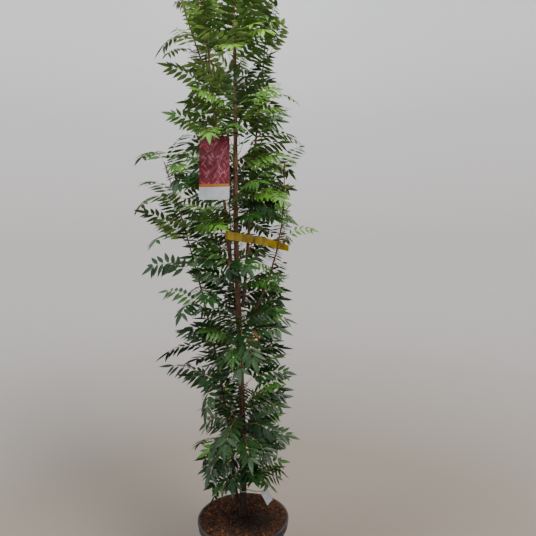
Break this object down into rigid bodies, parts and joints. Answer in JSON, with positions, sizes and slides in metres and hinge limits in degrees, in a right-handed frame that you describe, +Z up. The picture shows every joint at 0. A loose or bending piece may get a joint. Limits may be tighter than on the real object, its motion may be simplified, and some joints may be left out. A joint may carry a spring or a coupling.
{
  "type": "potted rowan sapling",
  "caption": "Young rowan with a slender trunk, thin climbing boughs and feathery compound leaves, in a round dark nursery pot of compost.",
  "frame": {"origin": "centre of the pot's flat underside, on the floor", "axes": "+Z up along the trunk; -Y is the front as pictured; +X to the right"},
  "size_m": [0.6327, 0.5556, 2.2994],
  "materials": {
    "dark_plastic": "moulded, slightly scuffed",
    "compost": "loose, damp and crumbly",
    "bark": "smooth young bark with small pores",
    "leaf": "soft satin, paler underneath",
    "crimson_card": "glossy printed card",
    "yellow_card": "satin strip",
    "white_card": "satin card"
  },
  "bodies": {
    "root": {"bough_back": "bark", "bough_left": "bark", "bough_left_fork": "bark", "bough_long_left": "bark", "bough_outer_right": "bark", "bough_right": "bark", "compost": "compost", "foliage_back_01": "leaf", "foliage_back_02": "leaf", "foliage_back_03": "leaf", "foliage_left_01": "leaf", "foliage_left_02": "leaf", "foliage_left_03": "leaf", "foliage_left_04": "leaf", "foliage_left_05": "leaf", "foliage_left_06": "leaf", "foliage_left_07": "leaf", "foliage_left_fork_01": "leaf", "foliage_left_fork_02": "leaf", "foliage_left_fork_03": "leaf", "foliage_long_left_01": "leaf", "foliage_long_left_02": "leaf", "foliage_long_left_03": "leaf", "foliage_long_left_04": "leaf", "foliage_long_left_05": "leaf", "foliage_long_left_06": "leaf", "foliage_long_left_07": "leaf", "foliage_long_left_08": "leaf", "foliage_long_left_09": "leaf", "foliage_outer_right_01": "leaf", "foliage_outer_right_02": "leaf", "foliage_outer_right_03": "leaf", "foliage_outer_right_04": "leaf", "foliage_right_01": "leaf", "foliage_right_02": "leaf", "foliage_right_03": "leaf", "foliage_right_04": "leaf", "foliage_right_05": "leaf", "foliage_right_06": "leaf", "foliage_trunk_01": "leaf", "foliage_trunk_02": "leaf", "foliage_trunk_03": "leaf", "foliage_trunk_04": "leaf", "foliage_trunk_05": "leaf", "foliage_trunk_06": "leaf", "foliage_trunk_07": "leaf", "foliage_trunk_08": "leaf", "foliage_trunk_09": "leaf", "foliage_trunk_10": "leaf", "foliage_trunk_11": "leaf", "foliage_trunk_12": "leaf", "foliage_trunk_13": "leaf", "foliage_trunk_14": "leaf", "foliage_trunk_15": "leaf", "foliage_trunk_16": "leaf", "hang_tag": "crimson_card", "loop_label": "yellow_card", "pot": "dark_plastic", "pot_label": "white_card", "trunk": "bark"}
  },
  "joints": []
}
